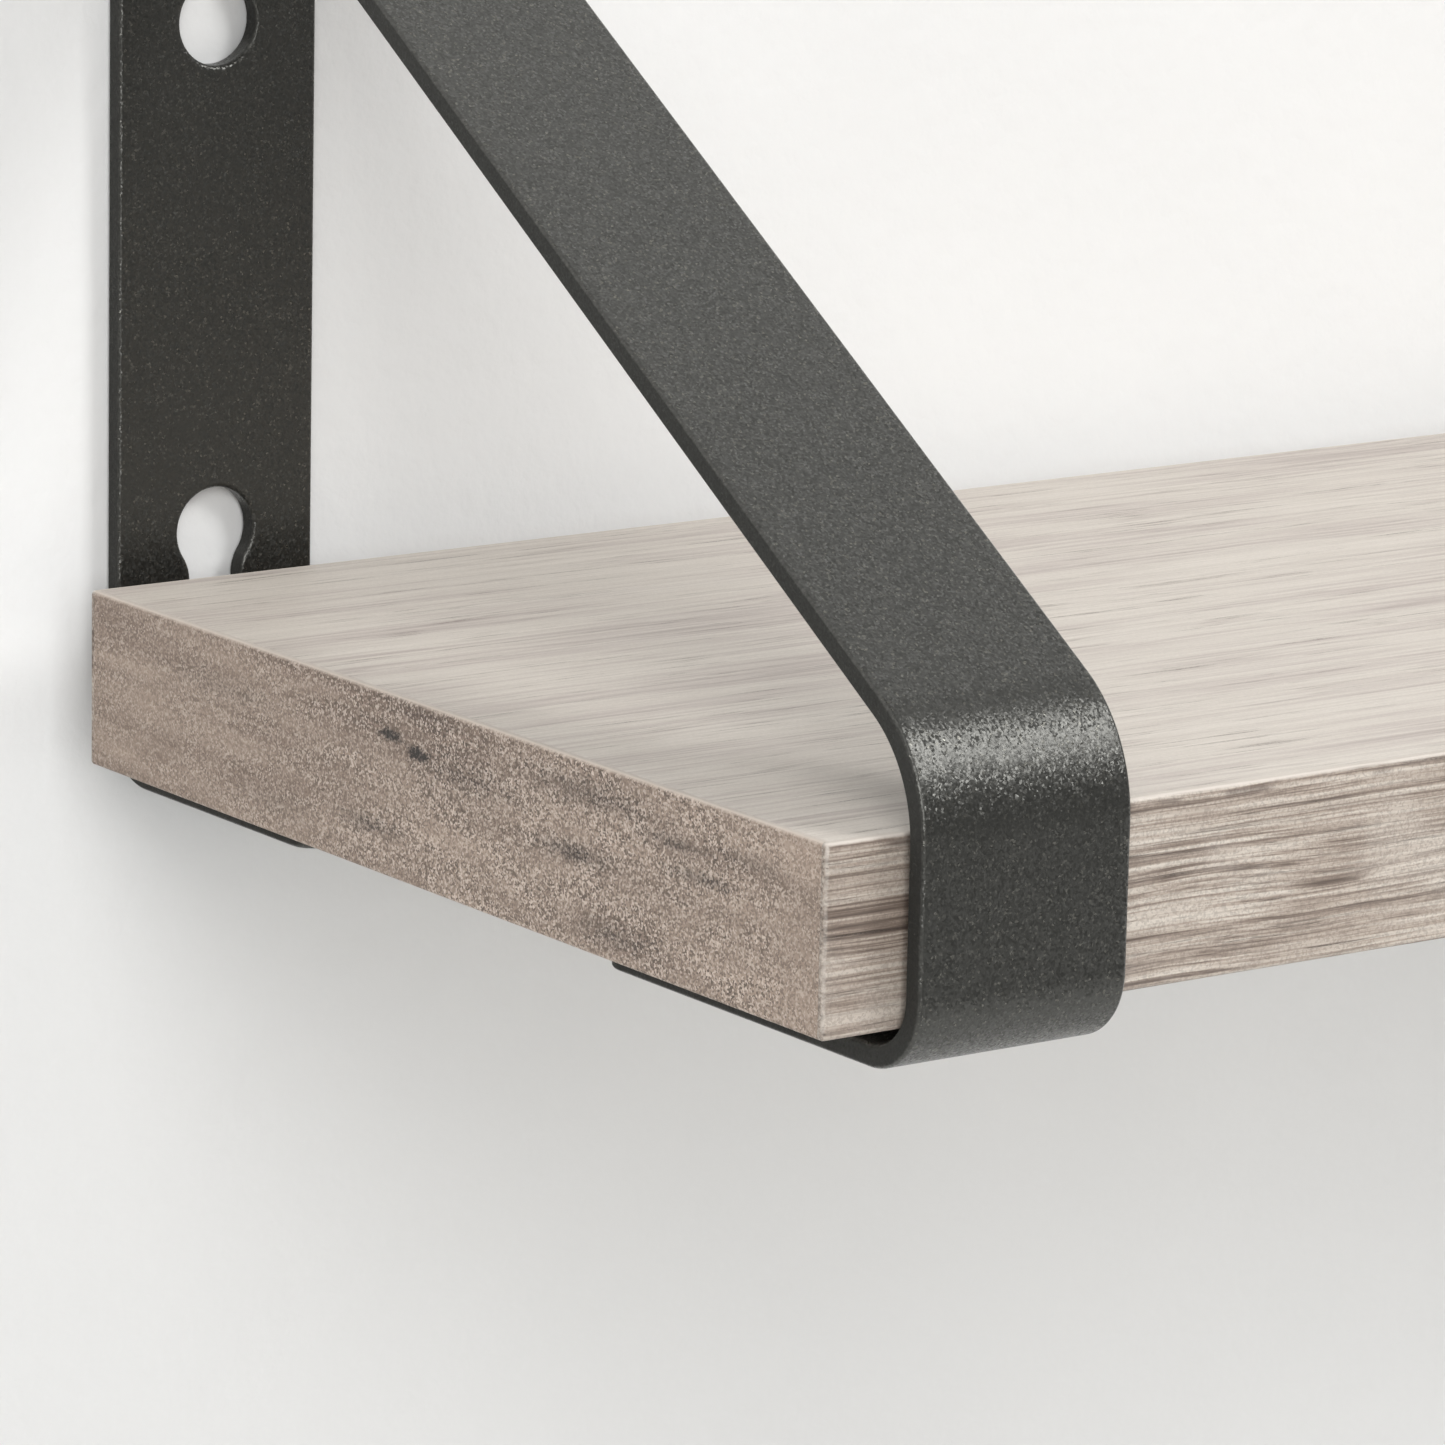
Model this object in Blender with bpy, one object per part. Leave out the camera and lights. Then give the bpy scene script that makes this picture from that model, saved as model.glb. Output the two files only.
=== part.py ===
"""Wall shelf: a laminated board carried on two bent flat-strip brackets.

Metres, +Z up. X runs along the board and +Y points into the wall. The origin lies on the wall,
level with the board's top face and midway along the board.
"""

import math

import bmesh
import bpy
import numpy as np

# Assembly
FIT_GAP = 0.0003            # clearance left between pieces that touch
BRACKET_INSET = 0.009       # board end to the near side of a bracket

# Board
BOARD_LENGTH = 0.420
BOARD_DEPTH = 0.140
BOARD_THICKNESS = 0.020
FACE_SHEET = 0.0008         # thickness of the top and bottom laminate
EDGE_BAND = 0.0008          # thickness of the edge bands
EDGE_EASE = 0.0003          # rounding of the bands' outer edges
BOARD_TO_LEG = 0.009        # board's rear edge to the front of the bracket's leg

# Bracket strip
STRIP_WIDTH = 0.026
STRIP_THICKNESS = 0.0025
STRIP_EDGE_RADIUS = 0.0005
FRONT_CLEARANCE = 0.0012    # board's front edge to the strip in front of it
FOOT_CLEARANCE = 0.0023     # board's underside to the feet
LOWER_BEND_RADIUS = 0.0057  # inside radius of the bends at the feet
FRONT_BEND_RADIUS = 0.0140  # inside radius of the bend above the board's front edge
TOP_BEND_RADIUS = 0.0060    # inside radius of the acute bend at the top
BRACE_ANGLE = math.radians(32.1)  # slope of the sloping run above the horizontal
BRACE_CORNER_RISE = 0.0080  # board's top to the meeting point of the two outer faces at the front
FRONT_FOOT = 0.0550         # front foot's reach back from the strip's front face
REAR_FOOT = 0.0425          # rear foot's reach forward from the wall
FOOT_CORNER_RADIUS = 0.0030
BEND_STEP = math.radians(6)

# Keyholes in the leg
KEYHOLE_BULB_RADIUS = 0.0050
KEYHOLE_SLOT_HALF = 0.0033
KEYHOLE_NECK_RADIUS = 0.0050
KEYHOLE_SLOT_REACH = 0.0090  # bulb centre to the centre of the slot's round end
LOWER_KEYHOLE_Z = 0.0031
UPPER_KEYHOLE_Z = 0.0616

# Pads and screws under the board
PAD_LENGTH = 0.022
PAD_WIDTH = 0.020
SCREW_HOLE_RADIUS = 0.0023
PILOT_RADIUS = 0.0021
SHANK_RADIUS = 0.0018
SCREW_DEPTH = 0.0130        # how far the screw goes into the board
HEAD_RADIUS = 0.0037
HEAD_HEIGHT = 0.0022
RECESS_WIDTH = 0.0009
RECESS_LENGTH = 0.0040
RECESS_DEPTH = 0.0013

LEG_FRONT_Y = -STRIP_THICKNESS
BOARD_REAR_Y = LEG_FRONT_Y - BOARD_TO_LEG
BOARD_FRONT_Y = BOARD_REAR_Y - BOARD_DEPTH
STRIP_FRONT_Y = BOARD_FRONT_Y - FRONT_CLEARANCE - STRIP_THICKNESS
FOOT_TOP_Z = -BOARD_THICKNESS - FOOT_CLEARANCE
FOOT_BOTTOM_Z = FOOT_TOP_Z - STRIP_THICKNESS
BRACKET_X = BOARD_LENGTH / 2 - BRACKET_INSET - STRIP_WIDTH / 2
FRONT_SCREW_Y = STRIP_FRONT_Y + 0.033
REAR_SCREW_Y = -0.027


def material(name, color, roughness, metallic=0.0):
    """A Principled material of one colour."""
    made = bpy.data.materials.new(name)
    made.use_nodes = True
    shader = made.node_tree.nodes["Principled BSDF"]
    shader.inputs["Base Color"].default_value = (*color, 1.0)
    shader.inputs["Roughness"].default_value = roughness
    shader.inputs["Metallic"].default_value = metallic
    made.diffuse_color = (*color, 1.0)
    return made


def add_object(name, points, faces, finish=None):
    """A mesh object from its points and faces, with its faces turned outwards."""
    mesh = bpy.data.meshes.new(name)
    mesh.from_pydata([tuple(p) for p in points], [], [tuple(f) for f in faces])
    shape = bmesh.new()
    shape.from_mesh(mesh)
    bmesh.ops.recalc_face_normals(shape, faces=shape.faces)
    shape.to_mesh(mesh)
    shape.free()
    obj = bpy.data.objects.new(name, mesh)
    bpy.context.scene.collection.objects.link(obj)
    if finish:
        mesh.materials.append(finish)
    return obj


def loft(rings):
    """Points and faces of a body that joins equal closed rings in order and caps both ends."""
    count = len(rings[0])
    points = np.concatenate(rings)
    faces = []
    for k in range(len(rings) - 1):
        for i in range(count):
            j = (i + 1) % count
            faces.append((k * count + i, k * count + j, (k + 1) * count + j, (k + 1) * count + i))
    faces.append(tuple(range(count)))
    faces.append(tuple(range(len(points) - count, len(points))))
    return points, faces


def block(name, low, high, finish=None):
    """A plain box between two corners."""
    (x0, y0, z0), (x1, y1, z1) = low, high
    ring = [(x0, y0), (x1, y0), (x1, y1), (x0, y1)]
    rings = [np.array([(x, y, z) for x, y in ring]) for z in (z0, z1)]
    return add_object(name, *loft(rings), finish)


def rod_cutter(name, centre, radius, z0, z1, sides=32):
    """An upright round cutter."""
    angles = np.arange(sides) * 2 * math.pi / sides
    rings = []
    for z in (z0, z1):
        rings.append(np.column_stack([
            centre[0] + radius * np.cos(angles), centre[1] + radius * np.sin(angles), np.full(sides, z),
        ]))
    return as_cutter(add_object(name, *loft(rings)))


def as_cutter(obj):
    obj.hide_render = True
    obj.display_type = "WIRE"
    return obj


def cut(obj, cutter):
    boolean = obj.modifiers.new(cutter.name, "BOOLEAN")
    boolean.operation = "DIFFERENCE"
    boolean.solver = "EXACT"
    boolean.object = cutter


def ease(obj, width, segments=2):
    """Rounds every sharp edge."""
    bevel = obj.modifiers.new("ease", "BEVEL")
    bevel.width = width
    bevel.segments = segments
    bevel.limit_method = "ANGLE"
    bevel.angle_limit = math.radians(40)


def shade_smooth(obj, angle=30):
    """Smooths the round faces and keeps the sharp edges sharp."""
    mesh = obj.data
    mesh.polygons.foreach_set("use_smooth", [True] * len(mesh.polygons))
    shape = bmesh.new()
    shape.from_mesh(mesh)
    for edge in shape.edges:
        edge.smooth = len(edge.link_faces) == 2 and edge.calc_face_angle() < math.radians(angle)
    shape.to_mesh(mesh)
    shape.free()


for old in list(bpy.data.objects):
    bpy.data.objects.remove(old, do_unlink=True)

core_board = material("core_board", (0.36, 0.25, 0.15), 0.85)
face_laminate = material("face_laminate", (0.48, 0.42, 0.36), 0.55)
edge_laminate = material("edge_laminate", (0.34, 0.28, 0.23), 0.60)
powder_coat = material("powder_coat", (0.045, 0.045, 0.042), 0.45, 0.30)
rubber = material("rubber", (0.02, 0.02, 0.02), 0.80)
screw_steel = material("screw_steel", (0.42, 0.42, 0.42), 0.35, 1.0)

brackets = [("left", -BRACKET_X), ("right", BRACKET_X)]
fixings = [("front", FRONT_SCREW_Y), ("rear", REAR_SCREW_Y)]

# Board. A particle core between two face sheets. The end bands go on first, and the front and rear
# bands run the full length over their edges.
half = BOARD_LENGTH / 2
skin = EDGE_BAND + FIT_GAP
sheet = FACE_SHEET + FIT_GAP
core = block(
    "board_core",
    (-half + skin, BOARD_FRONT_Y + skin, -BOARD_THICKNESS + sheet),
    (half - skin, BOARD_REAR_Y - skin, -sheet),
    core_board,
)
block(
    "board_top_laminate",
    (-half + skin, BOARD_FRONT_Y + skin, -FACE_SHEET),
    (half - skin, BOARD_REAR_Y - skin, 0.0),
    face_laminate,
)
bottom_sheet = block(
    "board_bottom_laminate",
    (-half + skin, BOARD_FRONT_Y + skin, -BOARD_THICKNESS),
    (half - skin, BOARD_REAR_Y - skin, -BOARD_THICKNESS + FACE_SHEET),
    face_laminate,
)
for name, y0 in (("board_front_band", BOARD_FRONT_Y), ("board_rear_band", BOARD_REAR_Y - EDGE_BAND)):
    ease(block(name, (-half, y0, -BOARD_THICKNESS), (half, y0 + EDGE_BAND, 0.0), edge_laminate), EDGE_EASE)
for name, x0 in (("board_left_band", -half), ("board_right_band", half - EDGE_BAND)):
    ease(block(
        name,
        (x0, BOARD_FRONT_Y + skin, -BOARD_THICKNESS),
        (x0 + EDGE_BAND, BOARD_REAR_Y - skin, 0.0),
        edge_laminate,
    ), EDGE_EASE)
for side, x in brackets:
    for place, y in fixings:
        pilot = rod_cutter(
            f"pilot_{side}_{place}", (x, y), PILOT_RADIUS,
            -BOARD_THICKNESS - 0.002, -BOARD_THICKNESS + SCREW_DEPTH + 2 * FIT_GAP,
        )
        cut(bottom_sheet, pilot)
        cut(core, pilot)


# Brackets. Each is one flat strip, bent four times: front foot, upright in front of the board, sloping
# run up to the wall, leg down the wall, rear foot. Both ends of the strip stop under the board.
def right_of(heading):
    """The direction a quarter turn clockwise from a heading in the YZ plane."""
    return np.array([heading[1], -heading[0]])


def strip_path():
    """Outer-face points of the strip in the YZ plane, with the inward normal and the distance along it."""
    slope = np.array([math.cos(BRACE_ANGLE), math.sin(BRACE_ANGLE)])
    rise = BRACE_CORNER_RISE - STRIP_FRONT_Y * math.tan(BRACE_ANGLE)
    corners = [
        (np.array([STRIP_FRONT_Y + FRONT_FOOT, FOOT_BOTTOM_Z]), 0.0),
        (np.array([STRIP_FRONT_Y, FOOT_BOTTOM_Z]), LOWER_BEND_RADIUS + STRIP_THICKNESS),
        (np.array([STRIP_FRONT_Y, BRACE_CORNER_RISE]), FRONT_BEND_RADIUS + STRIP_THICKNESS),
        (np.array([0.0, rise]), TOP_BEND_RADIUS + STRIP_THICKNESS),
        (np.array([0.0, FOOT_BOTTOM_Z]), LOWER_BEND_RADIUS + STRIP_THICKNESS),
        (np.array([-REAR_FOOT, FOOT_BOTTOM_Z]), 0.0),
    ]
    headings = [np.array([-1.0, 0.0]), np.array([0.0, 1.0]), slope, np.array([0.0, -1.0]), np.array([-1.0, 0.0])]
    stations = []
    # The end's rounded corners: distance along the strip and the loss of half width there.
    turns = np.linspace(0.0, math.pi / 2, 7)
    corner = [
        (FOOT_CORNER_RADIUS * (1 - math.cos(t)), FOOT_CORNER_RADIUS * (1 - math.sin(t))) for t in turns
    ]
    for along, loss in corner:
        stations.append((corners[0][0] + headings[0] * along, right_of(headings[0]), loss))
    for k in range(1, 5):
        point, radius = corners[k]
        before, after = headings[k - 1], headings[k]
        turn = math.acos(np.clip(before @ after, -1, 1))
        centre = point - before * radius * math.tan(turn / 2) + right_of(before) * radius
        steps = math.ceil(turn / BEND_STEP)
        for step in range(steps + 1):
            angle = -turn * step / steps
            spin = np.array([[math.cos(angle), -math.sin(angle)], [math.sin(angle), math.cos(angle)]])
            normal = spin @ right_of(before)
            stations.append((centre - normal * radius, normal, 0.0))
    for along, loss in reversed(corner):
        stations.append((corners[5][0] - headings[4] * along, right_of(headings[4]), loss))
    return stations


def strip_ring(station, centre_x):
    """The strip's rounded rectangular section at one station of its path."""
    point, normal, loss = station
    half_width = STRIP_WIDTH / 2 - loss
    r = STRIP_EDGE_RADIUS
    ring = []
    for sx, depth, start in ((1, r, 1.5), (1, STRIP_THICKNESS - r, 0.0),
                             (-1, STRIP_THICKNESS - r, 0.5), (-1, r, 1.0)):
        for step in range(4):
            angle = math.pi * (start + step / 6)
            x = sx * (half_width - r) + r * math.cos(angle)
            inward = depth + r * math.sin(angle)
            y, z = point + normal * inward
            ring.append((centre_x + x, y, z))
    return np.array(ring)


def keyhole_cutter(name, centre_x, centre_z, slot_direction):
    """A bulb that narrows through rounded shoulders to a slot with a round end."""
    bulb, slot, neck = KEYHOLE_BULB_RADIUS, KEYHOLE_SLOT_HALF, KEYHOLE_NECK_RADIUS
    drop = math.sqrt((bulb + neck) ** 2 - (slot + neck) ** 2)
    shoulder = math.atan2(drop, slot + neck)
    outline = []
    for angle in np.linspace(math.pi / 2, -shoulder, 19):
        outline.append((bulb * math.cos(angle), bulb * math.sin(angle)))
    for angle in np.linspace(math.pi - shoulder, math.pi, 6)[1:]:
        outline.append((slot + neck + neck * math.cos(angle), -drop + neck * math.sin(angle)))
    for angle in np.linspace(0, -math.pi / 2, 9):
        outline.append((slot * math.cos(angle), -KEYHOLE_SLOT_REACH + slot * math.sin(angle)))
    outline += [(-x, z) for x, z in reversed(outline[1:-1])]
    rings = []
    for y in (-STRIP_THICKNESS - 0.002, 0.002):
        rings.append(np.array([(centre_x + x, y, centre_z - slot_direction * z) for x, z in outline]))
    return as_cutter(add_object(name, *loft(rings)))


path = strip_path()
for side, x in brackets:
    strip = add_object(f"{side}_bracket", *loft([strip_ring(s, x) for s in path]), powder_coat)
    shade_smooth(strip)
    cut(strip, keyhole_cutter(f"keyhole_{side}_lower", x, LOWER_KEYHOLE_Z, -1))
    cut(strip, keyhole_cutter(f"keyhole_{side}_upper", x, UPPER_KEYHOLE_Z, 1))
    for place, y in fixings:
        cut(strip, rod_cutter(
            f"foot_hole_{side}_{place}", (x, y), SCREW_HOLE_RADIUS,
            FOOT_BOTTOM_Z - 0.002, FOOT_TOP_Z + 0.002,
        ))

# Pads. A rubber pad under each fixing carries the board above the feet.
for side, x in brackets:
    for place, y in fixings:
        pad = block(
            f"{side}_{place}_pad",
            (x - PAD_WIDTH / 2, y - PAD_LENGTH / 2, FOOT_TOP_Z + FIT_GAP),
            (x + PAD_WIDTH / 2, y + PAD_LENGTH / 2, -BOARD_THICKNESS - FIT_GAP),
            rubber,
        )
        cut(pad, rod_cutter(
            f"pad_hole_{side}_{place}", (x, y), SCREW_HOLE_RADIUS,
            FOOT_TOP_Z - 0.002, -BOARD_THICKNESS + 0.002,
        ))


# Screws. Pan heads against the underside of the feet, points up in the core.
def screw(name, centre_x, centre_y):
    """A turned screw blank: domed head, straight shank and tapered point, with a cross recess."""
    head_top = FOOT_BOTTOM_Z - FIT_GAP
    tip = -BOARD_THICKNESS + SCREW_DEPTH
    dome = [
        (HEAD_RADIUS * math.cos(t) ** 0.6, head_top - HEAD_HEIGHT * (0.35 + 0.65 * math.sin(t)))
        for t in np.linspace(math.radians(72), 0, 6)
    ]
    profile = dome + [
        (HEAD_RADIUS, head_top),
        (SHANK_RADIUS, head_top),
        (SHANK_RADIUS, tip - 0.004),
        (0.0004, tip),
    ]
    sides = 28
    angles = np.arange(sides) * 2 * math.pi / sides
    rings = [
        np.column_stack([centre_x + r * np.cos(angles), centre_y + r * np.sin(angles), np.full(sides, z)])
        for r, z in profile
    ]
    obj = add_object(name, *loft(rings), screw_steel)
    shade_smooth(obj)
    bottom = head_top - HEAD_HEIGHT
    for tag, dx, dy in (("a", RECESS_LENGTH, RECESS_WIDTH), ("b", RECESS_WIDTH, RECESS_LENGTH)):
        cut(obj, as_cutter(block(
            f"recess_{name}_{tag}",
            (centre_x - dx / 2, centre_y - dy / 2, bottom - 0.001),
            (centre_x + dx / 2, centre_y + dy / 2, bottom + RECESS_DEPTH),
        )))


for side, x in brackets:
    for place, y in fixings:
        screw(f"{side}_{place}_screw", x, y)
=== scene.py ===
import math

import bmesh
import bpy
import numpy as np
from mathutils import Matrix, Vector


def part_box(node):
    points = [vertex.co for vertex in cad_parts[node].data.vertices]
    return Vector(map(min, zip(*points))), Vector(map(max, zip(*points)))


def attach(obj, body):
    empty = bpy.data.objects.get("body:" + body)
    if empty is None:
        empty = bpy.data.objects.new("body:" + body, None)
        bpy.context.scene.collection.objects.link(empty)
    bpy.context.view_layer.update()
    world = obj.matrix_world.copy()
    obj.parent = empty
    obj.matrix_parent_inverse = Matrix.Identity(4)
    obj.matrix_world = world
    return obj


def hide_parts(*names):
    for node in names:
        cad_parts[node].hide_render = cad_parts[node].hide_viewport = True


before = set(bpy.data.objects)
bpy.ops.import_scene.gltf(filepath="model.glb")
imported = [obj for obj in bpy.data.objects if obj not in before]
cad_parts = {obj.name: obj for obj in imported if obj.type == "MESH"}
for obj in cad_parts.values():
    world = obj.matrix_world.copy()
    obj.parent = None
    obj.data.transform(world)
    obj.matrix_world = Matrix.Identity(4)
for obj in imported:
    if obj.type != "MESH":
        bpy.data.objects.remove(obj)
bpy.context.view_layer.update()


# ---------------------------------------------------------------------------------------------
# Board core. Wood chips pressed with resin into a flat panel, sawn to size. It is hidden under the
# face sheets and edge bands, and the CAD node keeps its shape, with the pilot holes of the screws.
# ---------------------------------------------------------------------------------------------
CHIPS_TO_METRE = 420.0
CHIP_COLOURS = ((0.0, 196, 160, 116), (0.35, 164, 126, 84), (0.7, 104, 76, 50))


def paint(red, green, blue):
    """A colour from its 0 to 255 screen values: below 0.04 a straight line, above it a 2.4 power."""
    shares = np.array([red, green, blue]) / 255.0
    linear = np.where(shares <= 0.04045, shares / 12.92, ((shares + 0.055) / 1.055) ** 2.4)
    return (*(float(x) for x in linear), 1.0)


def add(tree, kind, inputs=(), **options):
    """A node in a tree. Each input takes a plain value or the output of another node."""
    made = tree.nodes.new("ShaderNode" + kind)
    for option, value in options.items():
        setattr(made, option, value)
    for socket, value in dict(inputs).items():
        if isinstance(value, bpy.types.NodeSocket):
            tree.links.new(value, made.inputs[socket])
        else:
            made.inputs[socket].default_value = value
    return made


def calc(tree, operation, *values, clamp=False):
    """The result of a Math node."""
    return add(tree, "Math", enumerate(values), operation=operation, use_clamp=clamp).outputs[0]


def calc_vector(tree, operation, *values):
    """The result of a Vector Math node."""
    return add(tree, "VectorMath", enumerate(values), operation=operation).outputs[0]


def noise(tree, place, scale, detail=2.0, roughness=0.5):
    """Soft cloudy values from 0 to 1 at a place in metres, with `scale` clouds to the metre."""
    return add(tree, "TexNoise", {
        "Vector": place, "Scale": scale, "Detail": detail, "Roughness": roughness,
    }).outputs["Fac"]


def window(tree, value, low, high, start=0.0, end=1.0):
    """A smooth step: `start` below low, `end` above high."""
    return add(tree, "MapRange", {
        "Value": value, "From Min": low, "From Max": high, "To Min": start, "To Max": end,
    }, interpolation_type="SMOOTHSTEP").outputs[0]


def ramp(tree, value, stops):
    """A colour looked up along a row of stops: position, and the colour's screen values."""
    made = add(tree, "ValToRGB", {"Fac": value})
    while len(made.color_ramp.elements) < len(stops):
        made.color_ramp.elements.new(1.0)
    for element, (position, *screen) in zip(made.color_ramp.elements, stops):
        element.position, element.color = position, paint(*screen)
    return made.outputs[0]


def finish_material(name, **plain):
    """A new material, its tree, its Principled shader, and the object's coordinates in metres."""
    made = bpy.data.materials.new(name)
    made.use_nodes = True
    tree = made.node_tree
    shader = tree.nodes["Principled BSDF"]
    for socket, value in plain.items():
        shader.inputs[socket.replace("_", " ")].default_value = value
    return made, tree, shader, add(tree, "TexCoord").outputs["Object"]


def relief(tree, shader, height, depth, strength=1.0, under=None):
    """Bump on a shader from a height of 0 to 1 that stands for `depth` metres, over the normal
    `under` where one is given."""
    bump = add(tree, "Bump", {"Height": height, "Distance": depth, "Strength": strength})
    if under is not None:
        tree.links.new(under, bump.inputs["Normal"])
    tree.links.new(bump.outputs[0], shader.inputs["Normal"])


chipboard, tree, shader, place = finish_material("pressed_chips")
flattened = calc_vector(tree, "MULTIPLY", place, (1.0, 1.0, 3.0))
chips = add(tree, "TexVoronoi", {"Vector": flattened, "Scale": CHIPS_TO_METRE})
tone = calc(tree, "MULTIPLY", chips.outputs["Distance"], noise(tree, place, 900.0, detail=3.0))
tree.links.new(ramp(tree, tone, CHIP_COLOURS), shader.inputs["Base Color"])
tree.links.new(window(tree, tone, 0.0, 0.6, start=0.75, end=0.95), shader.inputs["Roughness"])
relief(tree, shader, tone, depth=0.0004)
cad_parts["board_core"].data.materials.clear()
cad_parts["board_core"].data.materials.append(chipboard)


# ---------------------------------------------------------------------------------------------
# Face sheets. Melamine sheets printed as weathered grey oak, 0.8 mm thick, pressed on the core's top
# and underside with the grain along the board. The lower one is drilled for the four fixing screws.
# ---------------------------------------------------------------------------------------------
LAMINATE = 0.0008
SHEET_EASE, SHEET_CORNER = 0.00005, 0.0001      # radii of the sheet's edges and corners
SCREWS = ("left_front_screw", "left_rear_screw", "right_front_screw", "right_rear_screw")
PILOT_RADIUS = 0.0021
HOLE_BLOCK = 0.006                              # half side of the block of faces round a screw hole
BLOCK_ROWS = 7
CORNER_STEPS, ROLL_STEPS, HALF_HOLE_STEPS = 7, 5, 121
RING_SHARES = (0.35, 0.65, 0.88, 1.0)           # from a hole's block to its rim
SAME = 1e-6                                     # points nearer than this are one
SPREAD_COLUMNS = (-0.4, 0.3, 5)                 # between the screw rows: from, to, count
SPREAD_INSET, SPREAD_ROWS = 0.03, 12            # plain rows along the sheet, this far from its ends
DECIMALS = 9                                    # to which stations are rounded before they merge


def add_piece(name, points, faces, finish, slot, node, rub=None):
    """A closed mesh piece from its points and four-cornered faces: doubles merged, faces turned
    outwards, shaded smooth with normals weighted by face size. `rub` is 0 to 1 on worn edges."""
    mesh = bpy.data.meshes.new(name)
    mesh.from_pydata(points, [], faces)
    if rub is not None:
        worn = mesh.attributes.new("rub", "FLOAT", "POINT")
        worn.data.foreach_set("value", rub.astype(np.float32))
    shape = bmesh.new()
    shape.from_mesh(mesh)
    bmesh.ops.remove_doubles(shape, verts=shape.verts, dist=SAME)
    bmesh.ops.dissolve_degenerate(shape, edges=shape.edges, dist=SAME / 10)
    bmesh.ops.recalc_face_normals(shape, faces=shape.faces)
    shape.to_mesh(mesh)
    shape.free()
    mesh.polygons.foreach_set("use_smooth", np.ones(len(mesh.polygons), bool))
    mesh.materials.append(finish)
    piece = bpy.data.objects.new(name, mesh)
    bpy.context.scene.collection.objects.link(piece)
    weighted = piece.modifiers.new("flat_faces", "WEIGHTED_NORMAL")
    weighted.weight = 100
    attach(piece, "root")
    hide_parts(node)


def quads(first, second):
    """Faces between two equal rows of point numbers: (a_i, a_i+1, b_i+1, b_i)."""
    return np.column_stack([first[:-1], first[1:], second[1:], second[:-1]])


def nearest(stations, place):
    """The number of the station nearest to a place."""
    return int(np.argmin(abs(stations - place)))


def over_hole(centre, count):
    """Equal steps over the block of a screw hole: centre - HOLE_BLOCK to centre + HOLE_BLOCK."""
    return centre + np.linspace(-HOLE_BLOCK, HOLE_BLOCK, count)


def rounded_rows(length, width, corner, roll, between):
    """Rows across a flat plate with rounded corners, inset by `roll` on all sides.
    Along a corner of radius c at angle t the row lies at c (1 - cos t) and loses c (1 - sin t) of
    half width. Returns the rows' places, their half widths, and the outward direction at their
    ends."""
    inner = corner - roll
    t = np.linspace(0.0, math.pi / 2, CORNER_STEPS)
    near, loss = roll + inner * (1 - np.cos(t)), inner * (1 - np.sin(t))
    between = between[(between > near[-1] + SAME) & (between < length - near[-1] - SAME)]
    rows = np.concatenate([near, between, length - near[::-1]])
    halves = width / 2 - roll - np.concatenate([loss, np.zeros(len(between)), loss[::-1]])
    out = np.concatenate([
        np.column_stack([-np.cos(t), np.sin(t)]),
        np.tile([0.0, 1.0], (len(between), 1)),
        np.column_stack([np.cos(t), np.sin(t)])[::-1],
    ])
    return rows, halves, out


def round_outline(radius):
    """Half of a round hole that grows by g: points (-(r + g) cos t, (r + g) sin t), and the
    direction (cos t, -sin t) from the metal into the hole."""
    t = np.linspace(0.0, math.pi, HALF_HOLE_STEPS)
    into = np.column_stack([np.cos(t), -np.sin(t)])

    def half(grow):
        return -(radius + grow) * into, into

    return half


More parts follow.
